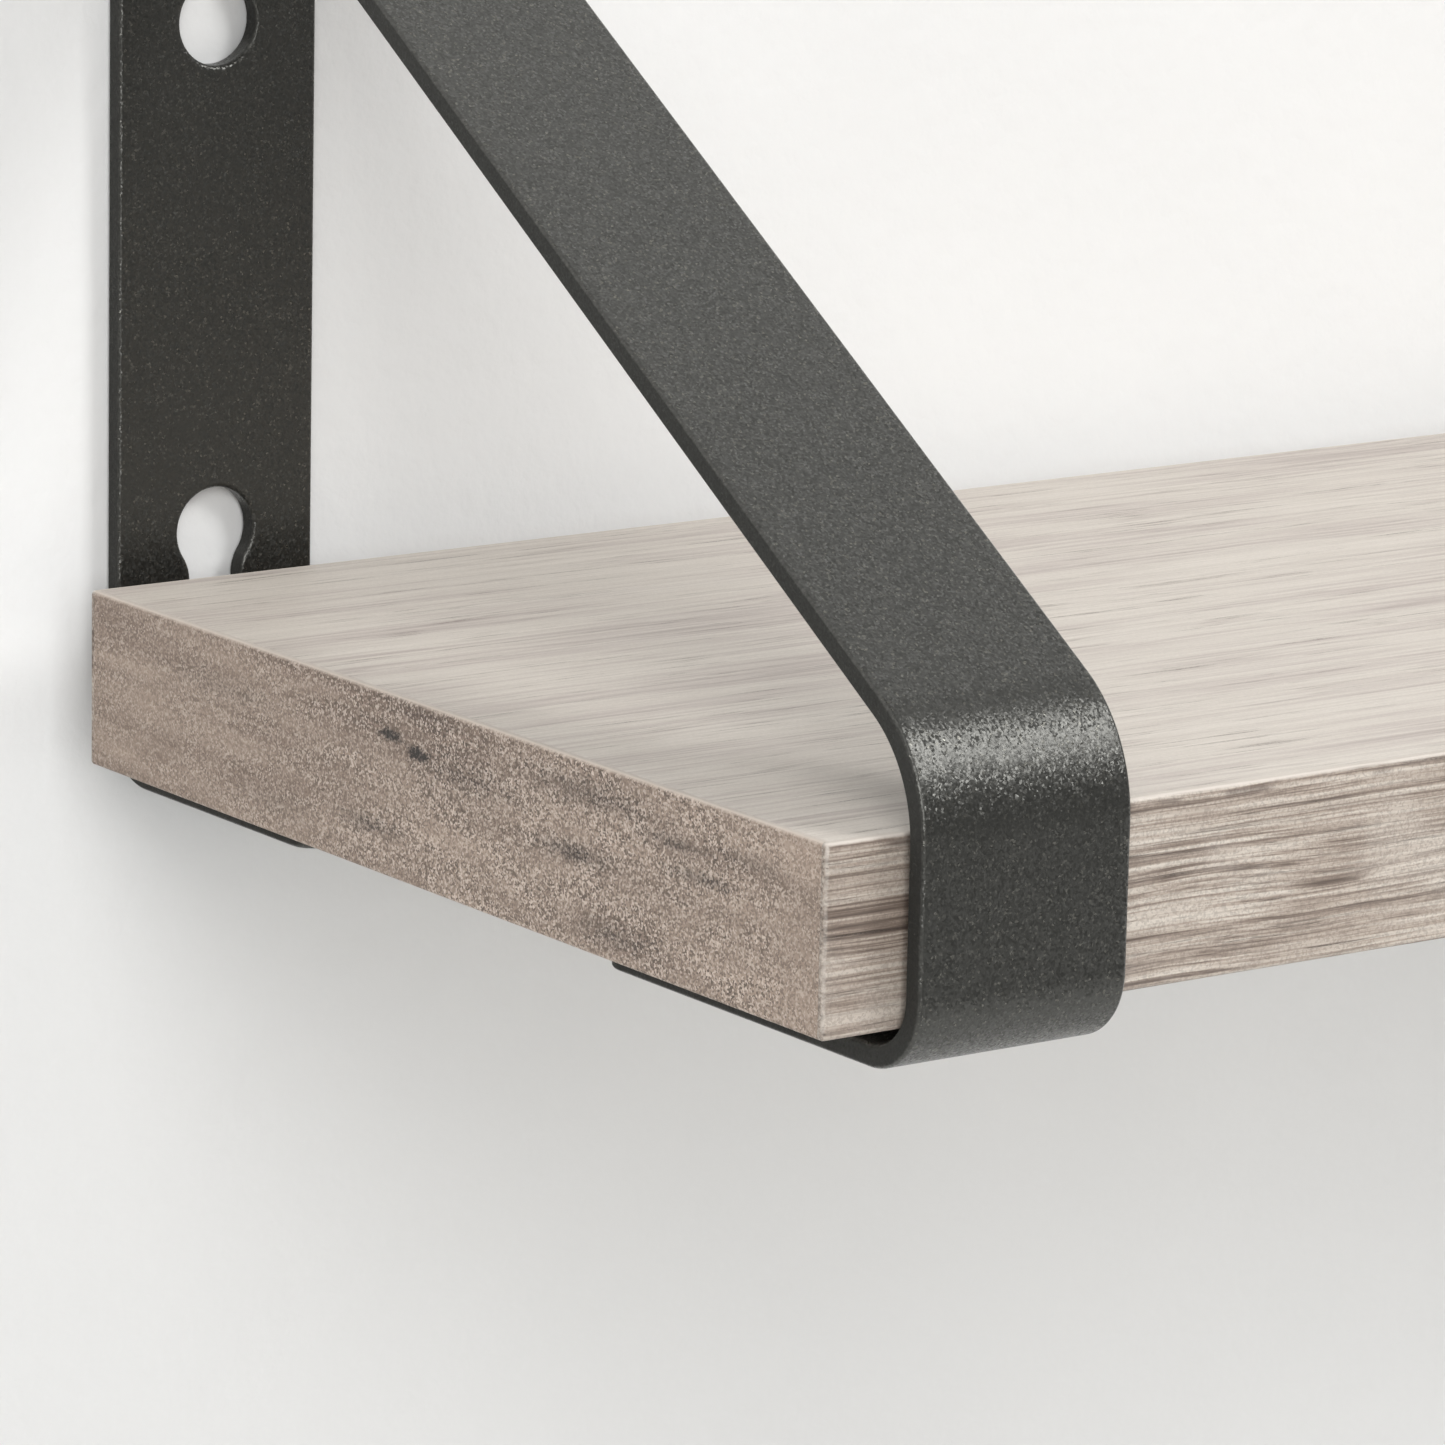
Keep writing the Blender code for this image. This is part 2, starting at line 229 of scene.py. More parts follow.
def punched_plate(rows, halves, out, columns, thickness, roll, holes):
    """A flat plate with rolled edges and punched holes, in plate coordinates (along, across, depth).
    Point (i, j) of its face is (row_i, column_j * half_i). Each hole swaps a block of the grid for
    rings that run straight from the block's outline to the hole's, matched by distance round them.
    Each edge rolls over by a quarter circle, roll * (sin, 1 - cos), down the wall and back.
    Returns points, faces and rub, which peaks half way round the roll."""
    n, m = len(rows), len(columns)
    grid = np.dstack([np.repeat(rows[:, None], m, 1), halves[:, None] * columns[None, :]])
    grid = grid.reshape(-1, 2)
    number = np.arange(n * m).reshape(n, m)
    kept = np.ones((n - 1, m - 1), bool)
    flat, faces, rims = [grid], [], []
    count = n * m
    for (i0, i1, j0, j1), centre, outline in holes:
        kept[i0:i1, j0:j1] = False
        loop = np.concatenate([
            number[i0, j0:j1], number[i0:i1, j1], number[i1, j1:j0:-1], number[i1:i0:-1, j0],
        ])
        block = grid[loop]
        steps = np.linalg.norm(np.roll(block, -1, 0) - block, axis=1)
        half_side = (grid[number[i0, j1], 1] - grid[number[i0, j0], 1]) / 2
        way = np.concatenate([[0.0], np.cumsum(steps)[:-1]]) - half_side
        way = (way / steps.sum()) % 1.0
        half_line, half_into = outline(roll)
        line = np.concatenate([half_line, half_line[-2::-1] * [1, -1]])
        into = np.concatenate([half_into, half_into[-2::-1] * [1, -1]])
        pieces = np.linalg.norm(np.diff(line, axis=0), axis=1)
        along = np.concatenate([[0.0], np.cumsum(pieces)])
        along /= along[-1]
        rim = np.column_stack([np.interp(way, along, line[:, k]) for k in (0, 1)]) + centre
        aim = np.column_stack([np.interp(way, along, into[:, k]) for k in (0, 1)])
        aim /= np.linalg.norm(aim, axis=1)[:, None]
        before = loop
        for share in RING_SHARES:
            flat.append(block + (rim - block) * share)
            ring = np.arange(count, count + len(loop))
            count += len(loop)
            faces.append(quads(np.append(before, before[0]), np.append(ring, ring[0])))
            before = ring
        rims.append((rim, aim))
    i, j = np.nonzero(kept)
    faces.append(np.column_stack([
        number[i, j], number[i, j + 1], number[i + 1, j + 1], number[i + 1, j],
    ]))
    flat, faces = np.concatenate(flat), np.concatenate(faces)
    points = [np.column_stack([flat, np.full(len(flat), depth)]) for depth in (0.0, thickness)]
    faces = [faces, faces + len(flat)]
    count = 2 * len(flat)
    rub = [np.zeros(count)]
    edge = np.concatenate([
        number[0, :-1], number[:-1, -1], number[-1, :0:-1], number[:0:-1, 0],
    ])
    outward = np.concatenate([
        np.tile([-1.0, 0.0], (m - 1, 1)), out[:-1],
        np.tile([1.0, 0.0], (m - 1, 1)), (out * [1, -1])[:0:-1],
    ])
    t = np.linspace(0.0, math.pi / 2, ROLL_STEPS)
    reach = roll * np.concatenate([np.sin(t), np.sin(t)[::-1]])
    depth = np.concatenate([roll * (1 - np.cos(t)), thickness - roll * (1 - np.cos(t))[::-1]])
    worn = np.concatenate([np.sin(2 * t), np.sin(2 * t)[::-1]])
    for line, aim in [(grid[edge], outward), *rims]:
        rolled = line[None] + aim[None] * reach[:, None, None]
        k = len(line)
        points.append(np.column_stack([rolled.reshape(-1, 2), np.repeat(depth, k)]))
        rub.append(np.repeat(worn, k))
        numbers = count + np.arange(len(reach) * k).reshape(len(reach), k)
        numbers = np.column_stack([numbers, numbers[:, 0]])
        faces += [quads(numbers[r], numbers[r + 1]) for r in range(len(reach) - 1)]
        count += len(reach) * k
    return np.concatenate(points), np.concatenate(faces), np.concatenate(rub)


def new_group(name, inputs, outputs):
    """An empty node group with named sockets: its tree, its given values and its result node."""
    group = bpy.data.node_groups.new(name, "ShaderNodeTree")
    for socket, kind in inputs:
        group.interface.new_socket(name=socket, in_out="INPUT", socket_type="NodeSocket" + kind)
    for socket in outputs:
        group.interface.new_socket(name=socket, in_out="OUTPUT", socket_type="NodeSocketFloat")
    return group, group.nodes.new("NodeGroupInput").outputs, group.nodes.new("NodeGroupOutput")


def times(tree, first, second):
    """The product of two values."""
    return calc(tree, "MULTIPLY", first, second)


def blend(tree, first, first_share, second, second_share):
    """The sum of two values, each times its share."""
    return calc(tree, "ADD", times(tree, first, first_share), times(tree, second, second_share))


def coordinate(tree, vector, axis):
    """One coordinate of a vector, by its letter."""
    return add(tree, "SeparateXYZ", {0: vector}).outputs[axis]


def tint(tree, share, colour, screen, way="MIX"):
    """A colour moved by a share from 0 to 1 towards the colour with these screen values."""
    return add(tree, "Mix", {0: share, 6: colour, 7: paint(*screen)},
               data_type="RGBA", blend_type=way).outputs[2]


# The printed figure: soft bands, streaks, short dark fibres and grit, all drawn out along the first
# axis of Place. Fineness is the number of streaks to the metre across the grain, and Grit Size the
# number of grains to the metre.
oak_figure, given, result = new_group(
    "oak_figure", [("Place", "Vector"), ("Fineness", "Float"), ("Grit Size", "Float")],
    ["Bands", "Streaks", "Fibres", "Grit"],
)
SWAY = 0.0022       # how far the grain wanders
wander = calc_vector(oak_figure, "MULTIPLY", given["Place"], (22.0, 90.0, 90.0))
sway = calc(oak_figure, "SUBTRACT", noise(oak_figure, wander, 1.0), 0.5)
sway = times(oak_figure, sway, SWAY)
sway = add(oak_figure, "CombineXYZ", {1: sway, 2: sway}).outputs[0]
swayed = calc_vector(oak_figure, "ADD", given["Place"], sway)


def drawn_out(along, across, detail=2.0, roughness=0.5):
    """Noise with `along` cells to the metre on the grain and `across` times Fineness over it."""
    wide = times(oak_figure, given["Fineness"], across)
    stretch = add(oak_figure, "CombineXYZ", {0: along, 1: wide, 2: wide}).outputs[0]
    place = calc_vector(oak_figure, "MULTIPLY", swayed, stretch)
    return noise(oak_figure, place, 1.0, detail, roughness)


grains = add(oak_figure, "TexVoronoi", {"Vector": given["Place"], "Scale": given["Grit Size"]})
grain_shade = add(oak_figure, "SeparateColor", {0: grains.outputs["Color"]}).outputs[0]
smear = noise(oak_figure, given["Place"], times(oak_figure, given["Grit Size"], 0.7), roughness=0.6)
fibres = window(oak_figure, drawn_out(80.0, 1.8, detail=4.0, roughness=0.65), 0.53, 0.68)
clusters = window(oak_figure, drawn_out(30.0, 0.40), 0.42, 0.62)
for socket, value in {
    "Bands": drawn_out(15.0, 0.13, detail=3.0),
    "Streaks": drawn_out(21.0, 1.1, detail=5.0, roughness=0.66),
    "Fibres": times(oak_figure, fibres, clusters),
    "Grit": blend(oak_figure, grain_shade, 0.72, smear, 0.28),
}.items():
    oak_figure.links.new(value, result.inputs[socket])

# Worn and lit corners. The pale mask is 1 on the rounded arrises of the whole board: partly print
# rubbed pale, partly a painted highlight, full along the top arrises, weaker lower down and none
# along the bottom ones. Under is a dark line in patches just below the top arris. The distance from
# a surface point to the nearest corner is the middle one of its three distances to the board's
# sides.
WORN_RAGGED = 0.0003
board_low = np.array(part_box("board_left_band")[0])
board_low[1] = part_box("board_front_band")[0][1]
board_high = np.array(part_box("board_right_band")[1])
board_high[1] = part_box("board_rear_band")[1][1]
worn_and_lit_corner, given, result = new_group("worn_and_lit_corner", [("Place", "Vector")], ["Pale", "Under"])
middle, half = (board_low + board_high) / 2, (board_high - board_low) / 2
off_middle = calc_vector(worn_and_lit_corner, "SUBTRACT", given["Place"], tuple(middle))
off_middle = calc_vector(worn_and_lit_corner, "ABSOLUTE", off_middle)
gaps = calc_vector(worn_and_lit_corner, "SUBTRACT", tuple(half), off_middle)
dx, dy, dz = add(worn_and_lit_corner, "SeparateXYZ", {0: gaps}).outputs
to_corner = calc(
    worn_and_lit_corner, "MAXIMUM", calc(worn_and_lit_corner, "MINIMUM", dx, dy),
    calc(worn_and_lit_corner, "MINIMUM", calc(worn_and_lit_corner, "MAXIMUM", dx, dy), dz),
)
ragged = calc(worn_and_lit_corner, "SUBTRACT", noise(worn_and_lit_corner, given["Place"], 700.0, detail=3.0), 0.5)
ragged = calc(worn_and_lit_corner, "ADD", to_corner, times(worn_and_lit_corner, ragged, WORN_RAGGED))
level = coordinate(worn_and_lit_corner, given["Place"], "Z")
above_bottom = calc(worn_and_lit_corner, "SUBTRACT", level, float(board_low[2]))
# Painted highlight and wear together: full along the top, weaker lower down, none at the bottom.
rub_and_highlight = times(
    worn_and_lit_corner, window(worn_and_lit_corner, level, -0.0022, -0.0007, start=0.42),
    window(worn_and_lit_corner, above_bottom, 0.0004, 0.0010),
)
pale_wear_and_highlight = times(worn_and_lit_corner, window(worn_and_lit_corner, ragged, 0.00018, 0.00045, start=1.0, end=0.0), rub_and_highlight)
worn_and_lit_corner.links.new(pale_wear_and_highlight, result.inputs["Pale"])
under = times(
    worn_and_lit_corner, window(worn_and_lit_corner, ragged, 0.0004, 0.0007),
    window(worn_and_lit_corner, ragged, 0.0010, 0.0015, start=1.0, end=0.0),
)
patches = times(
    worn_and_lit_corner, window(worn_and_lit_corner, noise(worn_and_lit_corner, given["Place"], 95.0), 0.50, 0.62),
    window(worn_and_lit_corner, level, -0.010, -0.004),
)
worn_and_lit_corner.links.new(times(worn_and_lit_corner, under, patches), result.inputs["Under"])


def printed(tree, place, fineness, grit_size, band_share, stops):
    """The oak figure placed in a material, and its colour: bands and streaks along a ramp."""
    figure = add(tree, "Group", {
        "Place": place, "Fineness": fineness, "Grit Size": grit_size,
    }, node_tree=oak_figure).outputs
    tone = blend(tree, figure["Bands"], band_share, figure["Streaks"], 1.0 - band_share)
    return figure, ramp(tree, tone, stops)


def corner_wear_and_highlight(tree, place):
    """Masks of the worn and lit corners: pale wear with a painted highlight, and the dark line."""
    return add(tree, "Group", {"Place": place}, node_tree=worn_and_lit_corner).outputs


FACE_OAK = (
    (0.36, 176, 165, 158), (0.44, 193, 183, 175), (0.51, 203, 195, 185), (0.62, 210, 202, 192),
)
FACE_FIBRE, FACE_GRIT, FACE_WORN_HIGHLIGHT = (104, 92, 84), (120, 110, 104), (226, 216, 203)
face_print, tree, shader, place = finish_material("oak_print_face", Roughness=0.5)
figure, colour = printed(tree, place, 1050.0, 4200.0, 0.45, FACE_OAK)
gritty = window(tree, figure["Grit"], 0.25, 0.75, start=0.82, end=0.42)
colour = tint(tree, times(tree, figure["Fibres"], gritty), colour, FACE_FIBRE)
colour = tint(tree, times(tree, figure["Grit"], 0.16), colour, FACE_GRIT)
# Pale arrises: worn print with a painted highlight.
colour = tint(tree, times(tree, corner_wear_and_highlight(tree, place)["Pale"], 0.75), colour, FACE_WORN_HIGHLIGHT)
tree.links.new(colour, shader.inputs["Base Color"])
tree.links.new(window(tree, figure["Streaks"], 0.3, 0.7, 0.56, 0.44), shader.inputs["Roughness"])
height = blend(tree, figure["Streaks"], 0.6, figure["Fibres"], -0.5)
relief(tree, shader, height, depth=0.00006)

screws = {name: np.array(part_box(name)) for name in SCREWS}
screw_places = {name: corners.mean(axis=0) for name, corners in screws.items()}
bracket_x = abs(screw_places["left_front_screw"][0])
sheet_low, sheet_high = board_low[:2] + LAMINATE, board_high[:2] - LAMINATE
sheet_length, sheet_width = sheet_high - sheet_low
sheet_middle_y = (sheet_low[1] + sheet_high[1]) / 2
screws_across = [screw_places[name][1] - sheet_middle_y for name in SCREWS[:2]]
across_stations = np.unique(np.round(np.concatenate([
    [-1.0, 1.0], np.linspace(*SPREAD_COLUMNS),
    *[over_hole(v, BLOCK_ROWS) / (sheet_width / 2 - SHEET_EASE) for v in screws_across],
]), DECIMALS))
along_stations = np.unique(np.round(np.concatenate([
    np.linspace(SPREAD_INSET, sheet_length - SPREAD_INSET, SPREAD_ROWS),
    *[over_hole(x - sheet_low[0], BLOCK_ROWS) for x in (-bracket_x, bracket_x)],
]), DECIMALS))
rows, halves, out = rounded_rows(sheet_length, sheet_width, SHEET_CORNER, SHEET_EASE, along_stations)
spots = across_stations * halves[len(halves) // 2]
pilots = []
for x, y, _ in screw_places.values():
    u, v = x - sheet_low[0], y - sheet_middle_y
    block = [nearest(line, centre + step)
             for line, centre in ((rows, u), (spots, v)) for step in (-HOLE_BLOCK, HOLE_BLOCK)]
    pilots.append((block, (u, v), round_outline(PILOT_RADIUS)))
for name, node, top, holes in (
    ("top_sheet", "board_top_laminate", 0.0, []),
    ("bottom_sheet", "board_bottom_laminate", board_low[2] + LAMINATE, pilots),
):
    points, faces, _ = punched_plate(rows, halves, out, across_stations, LAMINATE, SHEET_EASE, holes)
    points = np.column_stack([
        sheet_low[0] + points[:, 0], sheet_middle_y + points[:, 1], top - points[:, 2],
    ])
    add_piece(name, points, faces, face_print, "face_laminate", node)


# ---------------------------------------------------------------------------------------------
# Edge bands. Strips of the same printed laminate ironed on the four edges, front and rear bands over
# the ends of the side ones. Their outer corners are filed round, with a pale line painted along
# them:
# partly worn print, partly a painted highlight.
# ---------------------------------------------------------------------------------------------
BOARD_ROUND = 0.0005
ROUND_STEPS = 6
TINY = 1e-9             # a length below this is none
BAND_GAP = 0.00001      # between a side band and the sheets' ends or the bands over it
EDGE_OAK = ((0.38, 90, 77, 69), (0.45, 134, 120, 109), (0.51, 170, 157, 145), (0.60, 202, 193, 182))
EDGE_BLOTCH, EDGE_FIBRE, EDGE_END_PRINT_AND_SHADE = (216, 208, 198), (66, 55, 49), (150, 128, 112)
EDGE_GRIT, EDGE_UNDER = (96, 84, 76), (84, 72, 66)
EDGE_LAP, EDGE_WORN_HIGHLIGHT = (200, 191, 181), (216, 208, 199)
END_OAK = ((0.37, 99, 83, 73), (0.45, 133, 115, 102), (0.53, 153, 135, 121), (0.62, 169, 150, 135))
END_DARK, END_LIGHT, END_MARK = (66, 55, 49), (220, 205, 192), (40, 33, 29)
END_LAP, END_WORN_HIGHLIGHT = (198, 188, 178), (210, 196, 182)
# Dark marks in the figure of the left end: middle (y, z), half length, half height, depth of colour.
END_MARKS = (
    (-0.0736, -0.0045, 0.0034, 0.0010, 1.60), (-0.0791, -0.0055, 0.0034, 0.0011, 1.60),
    (-0.1080, -0.0100, 0.0100, 0.0016, 0.85), (-0.1100, -0.0033, 0.0165, 0.0026, 0.55),
    (-0.1257, -0.0053, 0.0090, 0.0012, 0.65), (-0.1310, -0.0079, 0.0090, 0.0012, 0.70),
    (-0.1390, -0.0045, 0.0090, 0.0016, 0.35), (-0.1157, -0.0172, 0.0110, 0.0020, 0.55),
    (-0.0690, -0.0150, 0.0095, 0.0015, 0.70), (-0.0875, -0.0062, 0.0150, 0.0030, 0.40),
    (-0.0400, -0.0060, 0.0180, 0.0026, 0.30), (-0.0500, -0.0165, 0.0140, 0.0022, 0.30),
)
MARK_REACH_X = 0.003    # the marks fade out this far in from the left end


def on_rounded_board(points):
    """Points moved onto the board with its outer corners rounded by r. With e the part of a point
    that lies beyond the board shrunk by r, e becomes e * max|e| / length of e."""
    inner = np.clip(points, board_low + BOARD_ROUND, board_high - BOARD_ROUND)
    beyond = points - inner
    length = np.linalg.norm(beyond, axis=1)
    share = np.where(length > TINY, abs(beyond).max(1) / np.maximum(length, TINY), 1.0)
    return inner + beyond * share[:, None]


def band(low, high):
    """A closed box between two corners as six flat grids, one for each end of each axis, with close
    rows where the board is rounded, moved onto the rounded board."""
    steps = BOARD_ROUND * np.linspace(0.0, 1.0, ROUND_STEPS)
    stations = []
    for a in range(3):
        near = np.concatenate([[low[a], high[a]], board_low[a] + steps, board_high[a] - steps])
        within = (near >= low[a] - TINY) & (near <= high[a] + TINY)
        stations.append(np.unique(np.round(near[within], DECIMALS)))
    points, faces, count = [], [], 0
    for a in range(3):
        b, c = (a + 1) % 3, (a + 2) % 3
        for end in (low[a], high[a]):
            grid = np.zeros((len(stations[b]), len(stations[c]), 3))
            grid[..., a] = end
            grid[..., b], grid[..., c] = np.meshgrid(stations[b], stations[c], indexing="ij")
            number = count + np.arange(grid[..., 0].size).reshape(grid.shape[:2])
            four = number[:-1, :-1], number[1:, :-1], number[1:, 1:], number[:-1, 1:]
            faces.append(np.column_stack([side.ravel() for side in four]))
            points.append(grid.reshape(-1, 3))
            count += number.size
    return on_rounded_board(np.concatenate(points)), np.concatenate(faces)


def facing_up(tree):
    """1 on surfaces that face up, where the lighter print of the face sheet laps over the edge."""
    normal = add(tree, "NewGeometry").outputs["Normal"]
    return window(tree, coordinate(tree, normal, "Z"), 0.55, 0.85)


front_print, tree, shader, place = finish_material("oak_print_long_edge", Roughness=0.5)
figure, colour = printed(tree, place, 1900.0, 4200.0, 0.30, EDGE_OAK)
blotches = noise(tree, calc_vector(tree, "MULTIPLY", place, (0.7, 1.0, 1.0)), 95.0, 3.0, 0.55)
colour = tint(tree, times(tree, window(tree, blotches, 0.42, 0.66), 0.26), colour, EDGE_BLOTCH)
broken = times(tree, figure["Fibres"], window(tree, figure["Grit"], 0.30, 0.62, 0.95, 0.35))
colour = tint(tree, times(tree, broken, 0.85), colour, EDGE_FIBRE)
from_middle = coordinate(tree, calc_vector(tree, "ABSOLUTE", place), "X")
# Darker towards each end of the band, out past the brackets: partly painted shade of the brackets,
# partly darker print.
end_print_and_shade = window(tree, from_middle, board_high[0] - 0.038, board_high[0] - 0.004, end=0.25)
colour = tint(tree, end_print_and_shade, colour, EDGE_END_PRINT_AND_SHADE, "MULTIPLY")
colour = tint(tree, window(tree, figure["Grit"], 0.40, 0.75, end=0.30), colour, EDGE_GRIT)
corner = corner_wear_and_highlight(tree, place)
colour = tint(tree, times(tree, corner["Under"], 0.7), colour, EDGE_UNDER)
colour = tint(tree, facing_up(tree), colour, EDGE_LAP)
# Pale arrises: worn print with a painted highlight.
colour = tint(tree, times(tree, corner["Pale"], 0.6), colour, EDGE_WORN_HIGHLIGHT)
tree.links.new(colour, shader.inputs["Base Color"])
tree.links.new(window(tree, figure["Streaks"], 0.3, 0.7, 0.60, 0.46), shader.inputs["Roughness"])
height = blend(tree, figure["Streaks"], 0.7, figure["Fibres"], -0.6)
relief(tree, shader, height, depth=0.00012)

end_print, tree, shader, place = finish_material("oak_print_end", Roughness=0.55)
sideways = add(tree, "Mapping", {"Vector": place, "Rotation": (0.0, 0.0, math.pi / 2)}).outputs[0]
figure, colour = printed(tree, sideways, 300.0, 4300.0, 0.5, END_OAK)
rough_spots = noise(tree, calc_vector(tree, "MULTIPLY", place, (1.0, 0.3, 1.0)), 380.0, 3.0, 0.6)
coarse = window(tree, rough_spots, 0.34, 0.64, start=0.55)
from_front = calc(tree, "SUBTRACT", coordinate(tree, place, "Y"), float(board_low[1]))
coarse = times(tree, coarse, window(tree, from_front, 0.001, 0.014, start=0.60))
coarse = times(tree, coarse, window(tree, from_front, 0.060, 0.125, start=1.0, end=0.55))
dark_grains = window(tree, figure["Grit"], 0.22, 0.50, start=0.74, end=0.0)
light_grains = window(tree, figure["Grit"], 0.52, 0.82, end=0.74)
colour = tint(tree, times(tree, dark_grains, coarse), colour, END_DARK)
colour = tint(tree, times(tree, light_grains, coarse), colour, END_LIGHT)
frayed = noise(tree, calc_vector(tree, "MULTIPLY", place, (1.0, 0.5, 1.0)), 1300.0, 4.0, 0.7)
frayed = times(tree, frayed, 1.9)
marked = 0.0
for centre_y, centre_z, half_length, half_height, share in END_MARKS:
    off = calc_vector(tree, "SUBTRACT", place, (board_low[0], centre_y, centre_z))
    off = calc_vector(tree, "DIVIDE", off, (MARK_REACH_X, half_length, half_height))
    far = add(tree, "VectorMath", {0: off}, operation="LENGTH").outputs["Value"]
    mark = window(tree, calc(tree, "ADD", far, frayed), 0.9, 2.0, start=share, end=0.0)
    marked = calc(tree, "MAXIMUM", marked, mark)
grainy = window(tree, figure["Grit"], 0.25, 0.75, start=1.0, end=0.6)
colour = tint(tree, calc(tree, "MULTIPLY", marked, grainy, clamp=True), colour, END_MARK)
colour = tint(tree, facing_up(tree), colour, END_LAP)
# Pale arrises: worn print with a painted highlight.
colour = tint(tree, times(tree, corner_wear_and_highlight(tree, place)["Pale"], 0.5), colour, END_WORN_HIGHLIGHT)
tree.links.new(colour, shader.inputs["Base Color"])
tree.links.new(window(tree, figure["Grit"], 0.3, 0.7, 0.62, 0.5), shader.inputs["Roughness"])
relief(tree, shader, figure["Grit"], depth=0.00010)

(x0, y0, z0), (x1, y1, z1) = board_low, board_high
side_y = (y0 + LAMINATE + BAND_GAP, y1 - LAMINATE - BAND_GAP)
for name, low, high, finish in (
    ("left_band", (x0, side_y[0], z0), (x0 + LAMINATE - BAND_GAP, side_y[1], z1), end_print),
    ("right_band", (x1 - LAMINATE + BAND_GAP, side_y[0], z0), (x1, side_y[1], z1), end_print),
    ("front_band", (x0, y0, z0), (x1, y0 + LAMINATE, z1), front_print),
    ("rear_band", (x0, y1 - LAMINATE, z0), (x1, y1, z1), front_print),
):
    add_piece(name, *band(low, high), finish, "edge_laminate", "board_" + name)


# ---------------------------------------------------------------------------------------------
# Brackets. Each is one blank of flat steel bar, 26 x 2.5 mm, with rolled edges: punched for the wall
# and board screws, bent four times over round tools, then powder coated in charcoal with fleck.
# ---------------------------------------------------------------------------------------------
STRIP_WIDTH = 0.026
STRIP_THICKNESS = 0.0025
STRIP_ROLL = 0.0005
STRIP_COLUMNS = 21
BRACE_SLOPE = math.radians(32.1)
BRACE_CORNER_RISE = 0.0080      # where the front bend's outer faces would meet, above the board
FOOT_LEVEL = -0.0248            # the feet's outer faces, below the board's top
FRONT_FOOT, REAR_FOOT = 0.055, 0.0425       # lengths back from the front and forward from the wall
FOOT_CORNER = 0.003
BENDS = (0.0057, 0.0140, 0.0060, 0.0057)    # inside radii: front foot, brace, top, rear foot
BEND_STEP = math.radians(3)
BRACE_ROWS = 12
FOOT_HOLE = 0.0023
LOWER_KEYHOLE, UPPER_KEYHOLE = 0.0031, 0.0616       # middles of the bulbs, above the board
BULB, SLOT, NECK, SLOT_REACH = 0.0050, 0.0033, 0.0050, 0.0090
# The block of faces round a keyhole reaches this far past the bulb's middle, away from the slot
# and over the slot. It and a foot hole's block have these numbers of rows and first columns.
BULB_SIDE, SLOT_SIDE = 0.0085, 0.0165
KEYHOLE_BLOCK, FOOT_HOLE_BLOCK = (26, 2), (13, 5)

front_y = float(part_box("left_bracket")[0][1])
rise = BRACE_CORNER_RISE - front_y * math.tan(BRACE_SLOPE)
corners = np.array([        # (y, z) of the outer face, from the front foot's end to the rear foot's
    (front_y + FRONT_FOOT, FOOT_LEVEL), (front_y, FOOT_LEVEL), (front_y, BRACE_CORNER_RISE),
    (0.0, rise), (0.0, FOOT_LEVEL), (-REAR_FOOT, FOOT_LEVEL),
])
runs = np.diff(corners, axis=0)
headings = np.arctan2(runs[:, 1], runs[:, 0])
turns = (headings[:-1] - headings[1:]) % (2 * math.pi)      # every bend turns clockwise
outer = np.array(BENDS) + STRIP_THICKNESS
tangents = outer * np.tan(turns / 2)
straights = np.linalg.norm(runs, axis=1) - np.append(0.0, tangents) - np.append(tangents, 0.0)
# The outer face as runs and bends in turn: length, curvature and start angle of each.
BRACE, LEG, REAR = 4, 6, 8
lengths, curves = np.empty(REAR + 1), np.zeros(REAR + 1)
lengths[0::2], lengths[1::2] = straights, outer * turns
curves[1::2] = 1 / outer
angles = np.repeat(headings, 2)[:REAR + 1]
starts = np.append(0.0, np.cumsum(lengths))


def along_strip(s, angle, curve):
    """Where a run or bend leads after a distance s: straight ahead, or round a clockwise circle of
    radius 1/c by (sin(cs) / c) ahead and ((1 - cos(cs)) / c) to the right."""
    bend = curve * s
    safe = np.where(curve > 0, curve, 1.0)
    ahead = np.where(curve > 0, np.sin(bend) / safe, s)
    right = np.where(curve > 0, (1 - np.cos(bend)) / safe, 0.0)
    return np.stack([
        ahead * np.cos(angle) + right * np.sin(angle), ahead * np.sin(angle) - right * np.cos(angle),
    ], -1)


joints = np.vstack([[0.0, 0.0], np.cumsum(along_strip(lengths, angles, curves), axis=0)])
joints = corners[0] + joints


def bend_blank(points, centre_x):
    """A flat blank bent to shape: (along, across, depth) goes to the outer face at `along`, moved
    inwards by `depth` square to it, with `across` along the board."""
    s = points[:, 0]
    k = np.clip(np.searchsorted(starts, s, side="right") - 1, 0, REAR)
    into = s - starts[k]
    at = joints[k] + along_strip(into, angles[k], curves[k])
    heading = angles[k] - curves[k] * into
    at = at + np.column_stack([np.sin(heading), -np.cos(heading)]) * points[:, 2:]
    return np.column_stack([centre_x + points[:, 1], at])


